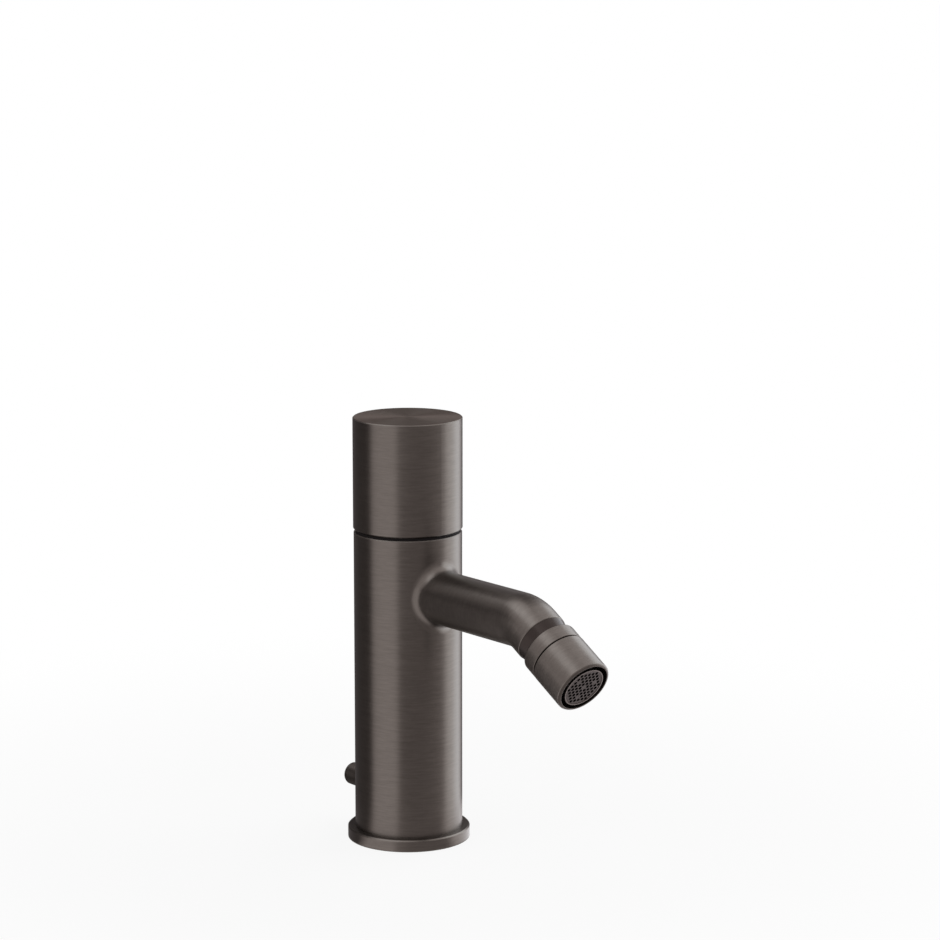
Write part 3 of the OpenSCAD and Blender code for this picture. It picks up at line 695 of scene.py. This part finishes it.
def add_spout(skin, t):
    """The spout from the fillet to its mouth, the socket in it and the waterway back inside."""
    start = roll_centre(t)[:, 0]
    rows = [
        spout_row(t, start + (SPOUT_RUN - start) * i / RUN_STEPS, SPOUT_R) for i in range(RUN_STEPS + 1)
    ]
    for i in range(BEND_STEPS):
        rows.append(spout_row(t, SPOUT_RUN + BEND_LENGTH * (i + 1) / BEND_STEPS, SPOUT_R))
    for i in range(EDGE_STEPS + 1):
        a = math.pi / 2 * i / EDGE_STEPS
        radius = SPOUT_R - MOUTH_EDGE * (1 - math.cos(a))
        rows.append(mouth_row(t, radius, MOUTH_EDGE * (1 - math.sin(a)), math.cos(a), math.sin(a)))
    skin.strips(rows)

    thread = SOCKET_THREAD_R
    depth = SOCKET_DEPTH
    skin.strip(mouth_row(t, SPOUT_R - MOUTH_EDGE, 0, 0, 1), mouth_row(t, thread, 0, 0, 1))
    skin.strip(mouth_row(t, thread, 0, -1, 0), mouth_row(t, thread, depth, -1, 0))
    skin.strip(mouth_row(t, thread, depth, 0, 1), mouth_row(t, WATERWAY_R, depth, 0, 1))

    inside = SPOUT_LENGTH - SOCKET_DEPTH
    rows = []
    for i in range(INSIDE_STEPS + 1):
        distance = inside - (inside - SPOUT_RUN) * i / INSIDE_STEPS
        rows.append(spout_row(t, distance, WATERWAY_R, inward=True))
    at_bore = np.sqrt(BORE_R ** 2 - (WATERWAY_R * np.sin(t)) ** 2)
    rows.append(spout_row(t, at_bore, WATERWAY_R, inward=True))
    skin.strips(rows)


def add_slot(skin):
    """The wall round the lift pin's slot, outside and in, and the slot's own edge."""
    slot_frame = frame_of(SLOT_FIRST, SLOT_LAST, *SLOT_FRAME, SLOT_LEVELS)
    y, z, facing = slot_edge(*slot_frame)
    edges = []
    for radius, inward in ((COLUMN_R, False), (BORE_R, True)):
        turns = math.pi - np.arcsin(y / radius)
        close_round(skin, radius, (turns, z), slot_frame, inward, power=1)
        ring = around_column(radius, turns, z)
        edges.append(Row(ring.point, facing, (1, 0, 0), ring.streak))
    skin.strip(*edges)


def add_rim_and_foot(skin):
    """The chamfered rim, the wider bore below it with its ledge, and the column's foot."""
    turns = np.arange(SEGMENTS) * TURN_STEP
    flat = around_column(1, turns, 0).normal

    def ring(radius, z, out, up):
        place = around_column(radius, turns, z).point
        normal = flat * out + np.array([0, 0, up])
        along = flat * -up + np.array([0, 0, out])
        return Row(place, normal, along, flat + [0, 0, (z - radius) * MM])

    slope = math.sqrt(0.5)
    ledge = COLUMN_TOP - RIM_DEPTH
    rim = COLUMN_R - RIM_CHAMFER
    skin.strip(ring(COLUMN_R, COLUMN_TOP - RIM_CHAMFER, slope, slope), ring(rim, COLUMN_TOP, slope, slope))
    skin.strip(ring(rim, COLUMN_TOP, 0, 1), ring(RIM_R, COLUMN_TOP, 0, 1))
    skin.strip(ring(RIM_R, COLUMN_TOP, -1, 0), ring(RIM_R, ledge, -1, 0))
    skin.strip(ring(RIM_R, ledge, 0, 1), ring(BORE_R, ledge, 0, 1))
    skin.strip(ring(BORE_R, BASE_H, 0, -1), ring(COLUMN_R, BASE_H, 0, -1))


def body_skin():
    skin = Skin()
    column_wall(skin, COLUMN_R, COLUMN_TOP - RIM_CHAMFER, ROOT_HIGH)
    column_wall(skin, BORE_R, COLUMN_TOP - RIM_DEPTH, ROOT_HIGH_INSIDE, inward=True)
    frames = [
        frame_of(-ROOT_HALF, ROOT_HALF, ROOT_LOW, high, ROOT_LEVELS) for high in (ROOT_HIGH, ROOT_HIGH_INSIDE)
    ]
    t = root_angles(*frames[0])
    add_root(skin, t, frames)
    add_spout(skin, t)
    add_slot(skin)
    add_rim_and_foot(skin)
    return skin


body = body_skin().build("body_skin", gunmetal_skin)
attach(body, "root")
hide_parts("body_column")


# Swivel ring and sleeve

# In millimetres, along the water's way from the ball's centre
SWIVEL_GAP = 0.3
RING_R = 11.95
RING_START = 4.95
RING_END = 11.65
RING_BORE_R = math.sqrt((SPOUT_R + SWIVEL_GAP) ** 2 - RING_START ** 2)
RING_STEP = 8.5
RING_STEP_DEPTH = 0.7
RING_STEP_R = RING_BORE_R - RING_STEP_DEPTH
RING_LIP = 0.12
RING_EDGE = 0.6
WEB_Z = 11.5
WEB_H = 2.9
WEB_TOP = WEB_Z + WEB_H
SPIGOT_R = 10.9
SPIGOT_END = 17.2
STEM_BORE_R = 4.05
REGULATOR_R = 8.0
SLEEVE_R = 12.0
SLEEVE_START = 12.05
SLEEVE_END = 29.5
SLEEVE_BORE_R = 10.7
SLEEVE_FIT = 0.05
SLEEVE_SEAT_R = SPIGOT_R + SLEEVE_FIT
SLEEVE_EDGE = 1.1
SLEEVE_LIP = 0.15
SEAM_EDGE = 0.35
LEDGE_Z = 19.9
LEDGE_TOP = 21.7
INSERT_HOLE_R = 9.25

swivel_ring = turned([
    (RING_BORE_R, RING_START, RING_LIP), (RING_R, RING_START, RING_EDGE), (RING_R, RING_END, SEAM_EDGE),
    (SPIGOT_R, RING_END, 0), (SPIGOT_R, SPIGOT_END, 0), (REGULATOR_R, SPIGOT_END, 0),
    (REGULATOR_R, WEB_TOP, 0), (STEM_BORE_R, WEB_TOP, 0), (STEM_BORE_R, WEB_Z, 0),
    (RING_STEP_R, WEB_Z, 0), (RING_STEP_R, RING_STEP, 0), (RING_BORE_R, RING_STEP, 0),
], BALL, WATER_WAY).build("swivel_ring_skin", gunmetal_skin)
swivel_sleeve = turned([
    (SLEEVE_SEAT_R, SLEEVE_START, 0), (SLEEVE_R, SLEEVE_START, SEAM_EDGE),
    (SLEEVE_R, SLEEVE_END, SLEEVE_EDGE), (SLEEVE_BORE_R, SLEEVE_END, SLEEVE_LIP),
    (SLEEVE_BORE_R, LEDGE_TOP, 0), (INSERT_HOLE_R, LEDGE_TOP, 0), (INSERT_HOLE_R, LEDGE_Z, 0),
    (SLEEVE_BORE_R, LEDGE_Z, 0), (SLEEVE_BORE_R, SPIGOT_END, 0), (SLEEVE_SEAT_R, SPIGOT_END, 0),
], BALL, WATER_WAY).build("swivel_sleeve_skin", gunmetal_skin)
for piece, node in ((swivel_ring, "swivel_ring"), (swivel_sleeve, "swivel_sleeve")):
    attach(piece, "aerator")
    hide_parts(node)


# Floor and world

# In metres. Far from the part the floor is seen plain white, and near it the part's shadow shows.
FLOOR_R = 30.0
FLOOR_SIDES = 64
FLOOR_TONE = (0.86, 0.86, 0.86)
SHADOW_REACH = (0.1, 0.4)
WHITE_SHARE = (0.88, 1)
WORLD_TONE = (0.55, 0.55, 0.55)


def add_stage(name, verts, faces, material):
    mesh = bpy.data.meshes.new(name)
    mesh.from_pydata(verts, [], faces)
    mesh.materials.append(material)
    piece = bpy.data.objects.new(name, mesh)
    bpy.context.collection.objects.link(piece)
    return piece


def seen_ray(tree):
    """1 for what the camera sees, straight, in a reflection or through glass."""
    path = tree.nodes.new("ShaderNodeLightPath")
    seen = number_math(tree, "MAXIMUM", path.outputs["Is Camera Ray"], path.outputs["Is Glossy Ray"])
    return number_math(tree, "MAXIMUM", seen, path.outputs["Is Transmission Ray"])


def floor_material():
    material, tree, shader = new_material("floor")
    shader.inputs["Base Color"].default_value = (*FLOOR_TONE, 1)
    shader.inputs["Roughness"].default_value = 0.9
    shader.inputs["Specular IOR Level"].default_value = 0
    white = tree.nodes.new("ShaderNodeEmission")
    white.inputs["Strength"].default_value = 1
    blend = tree.nodes.new("ShaderNodeMixShader")
    away = vector_math(tree, "LENGTH", object_place(tree), output="Value")
    share = map_range(tree, away, SHADOW_REACH, WHITE_SHARE, "SMOOTHSTEP")
    tree.links.new(number_math(tree, "MULTIPLY", seen_ray(tree), share), blend.inputs[0])
    tree.links.new(shader.outputs[0], blend.inputs[1])
    tree.links.new(white.outputs[0], blend.inputs[2])
    tree.links.new(blend.outputs[0], tree.nodes["Material Output"].inputs["Surface"])
    return material


def floor_corner(i):
    angle = math.tau * i / FLOOR_SIDES
    return math.cos(angle) * FLOOR_R, math.sin(angle) * FLOOR_R, 0


add_stage(
    "floor", [floor_corner(i) for i in range(FLOOR_SIDES)], [tuple(range(FLOOR_SIDES))], floor_material(),
)

world = bpy.data.worlds.new("studio")
world.use_nodes = True
bpy.context.scene.world = world
world.cycles.sampling_method = "NONE"
tree = world.node_tree
tone = colour_between(tree, seen_ray(tree), WORLD_TONE, WHITE)
tree.links.new(tone, tree.nodes["Background"].inputs["Color"])


# Lamps and cards

# The lamps' size, their distance from the column's axis and the height of their middle, in metres
SOFTBOX_WIDTH = 1.6
SOFTBOX_HEIGHT = 1.7
SOFTBOX_AWAY = 1.1
SOFTBOX_Z = 0.85


def heading(degrees):
    """Horizontal direction, in degrees to the right of the line from the part to the camera."""
    turn = math.radians(degrees)
    return TO_CAMERA * math.cos(turn) + TO_RIGHT * math.sin(turn)


def softbox(name, degrees, radiance):
    """A wide lamp that no reflection shows."""
    data = bpy.data.lights.new(name, "AREA")
    data.shape = "RECTANGLE"
    data.size = SOFTBOX_WIDTH
    data.size_y = SOFTBOX_HEIGHT
    data.energy = radiance * math.pi * SOFTBOX_WIDTH * SOFTBOX_HEIGHT
    lamp = bpy.data.objects.new(name, data)
    lamp.location = heading(degrees) * SOFTBOX_AWAY + Vector((0, 0, SOFTBOX_Z))
    aim = Vector((0, 0, SOFTBOX_Z)) - lamp.location
    lamp.rotation_euler = aim.to_track_quat("-Z", "Y").to_euler()
    lamp.visible_camera = False
    lamp.visible_glossy = False
    bpy.context.collection.objects.link(lamp)


softbox("softbox_right", 124, 1.3)
softbox("softbox_left", -56, 0.45)

# Distances of the cards from the column's axis, and their heights, in metres
CARD_R = 0.5
NEAR_R = 0.06
GROUND_Z = 0.0003
EYE_Z = 0.2
HIGH_Z = 0.35
TOP_Z = 0.6
SLOPE_R = 0.27
SLOPE_Z = 0.9
PEAK_R = 0.03
PEAK_Z = 1.2
CARD_TURNS = np.linspace(-90, 90, 181)

# Red of a dark card against its green, how that falls and how blue rises as a card gets brighter
CARD_RED = 1.12
CARD_RED_FALL = 0.06
CARD_BLUE_RISE = 0.02


def reached(turn, distance, level):
    """Where what the column's side mirrors, turned this many degrees from the camera, lies at a
    distance from the column's axis."""
    near = heading(turn) * COLUMN_R * MM
    way = heading(2 * turn)
    along = near.dot(way)
    place = near + way * (math.sqrt(max(along ** 2 - near.dot(near) + distance ** 2, 0)) - along)
    return Vector((place.x, place.y, level))


def cards(zone, profile, stops):
    """Glowing cards all round that only reflections see, with soft edges: the profile gives their
    distances and heights, and each stop is a turn of the column's side and how bright the card is
    there. The darker ones are a little warmer."""
    material, tree, shader = new_material(f"cards_{zone}")
    tree.nodes.remove(shader)
    glow = tree.nodes.new("ShaderNodeEmission")
    tree.links.new(corner_value(tree, "tone").outputs["Color"], glow.inputs["Color"])
    tree.links.new(glow.outputs[0], tree.nodes["Material Output"].inputs["Surface"])
    green = np.interp(CARD_TURNS, *zip(*stops))
    red = green * (CARD_RED - CARD_RED_FALL * green)
    blue = green * (1 + CARD_BLUE_RISE * green)
    colours = np.stack([red, green, blue, np.ones(len(green))], 1)
    places = [reached(turn, distance, level) for distance, level in profile for turn in CARD_TURNS]
    count = len(CARD_TURNS)
    faces = []
    for low in range(0, (len(profile) - 1) * count, count):
        for i in range(count):
            j = (i + 1) % count
            faces.append((low + i, low + j, low + count + j, low + count + i))
    piece = add_stage(f"cards_{zone}", places, faces, material)
    layer = piece.data.attributes.new("tone", "FLOAT_COLOR", "POINT")
    layer.data.foreach_set("color", np.tile(colours, (len(profile), 1)).astype(np.float32).ravel())
    piece.visible_camera = False
    piece.visible_diffuse = False
    piece.visible_shadow = False
    piece.visible_transmission = False


# Dark behind, a pale card to the left, a brighter one to the right and more overhead
cards("near", [(COLUMN_R * MM, GROUND_Z), (NEAR_R, GROUND_Z)], [
    (-90, 0.17), (-50, 0.17), (-38, 1.2), (-15, 1.2), (-9, 0.7), (2, 0.5), (36, 0.46), (46, 1.4), (60, 1.8),
    (75, 1.6), (80, 0.9),
])
cards("eye", [(NEAR_R, GROUND_Z), (CARD_R, GROUND_Z), (CARD_R, EYE_Z)], [
    (-90, 0.12), (-62, 0.13), (-53, 0.15), (-43.5, 0.08), (-38.5, 1.24), (-12, 1.24), (-9, 0.39), (14, 0.4),
    (30, 0.5), (41, 0.6), (45, 1.85), (55, 2.1), (60, 2.7), (67, 2.5), (74, 0.6), (80, 0.1),
])
cards("low", [(CARD_R, EYE_Z), (CARD_R, HIGH_Z)], [
    (-90, 0.42), (-84, 0.42), (-79, 0.15), (-70, 0.08), (-41, 0.08), (-36, 1), (-2, 1), (2, 0.58),
    (40, 0.58), (44, 2.7), (73, 2.7), (78, 0.42),
])
cards("high", [(CARD_R, HIGH_Z), (CARD_R, TOP_Z)], [
    (-90, 0.2), (-80, 0.2), (-74, 0.4), (-60, 0.35), (-48, 0.35), (-42, 0.8), (-38, 1), (-2, 1), (2, 0.58),
    (40, 0.58), (44, 2.7), (73, 2.7), (78, 0.2),
])
cards("slope", [(CARD_R, TOP_Z), (SLOPE_R, SLOPE_Z)], [
    (-90, 0.2), (-78, 0.6), (-70, 1.5), (-50, 2.1), (-40, 2.3), (-20, 2), (0, 1.4), (20, 1.2), (38, 1.2),
    (46, 1.5), (75, 1.4), (80, 0.2),
])
cards("peak", [(SLOPE_R, SLOPE_Z), (PEAK_R, PEAK_Z)], [
    (-90, 0.5), (-70, 1.8), (-45, 1.5), (-20, 1.15), (4, 1.05), (38, 1.1), (46, 1.5), (70, 1.6), (90, 0.5),
])
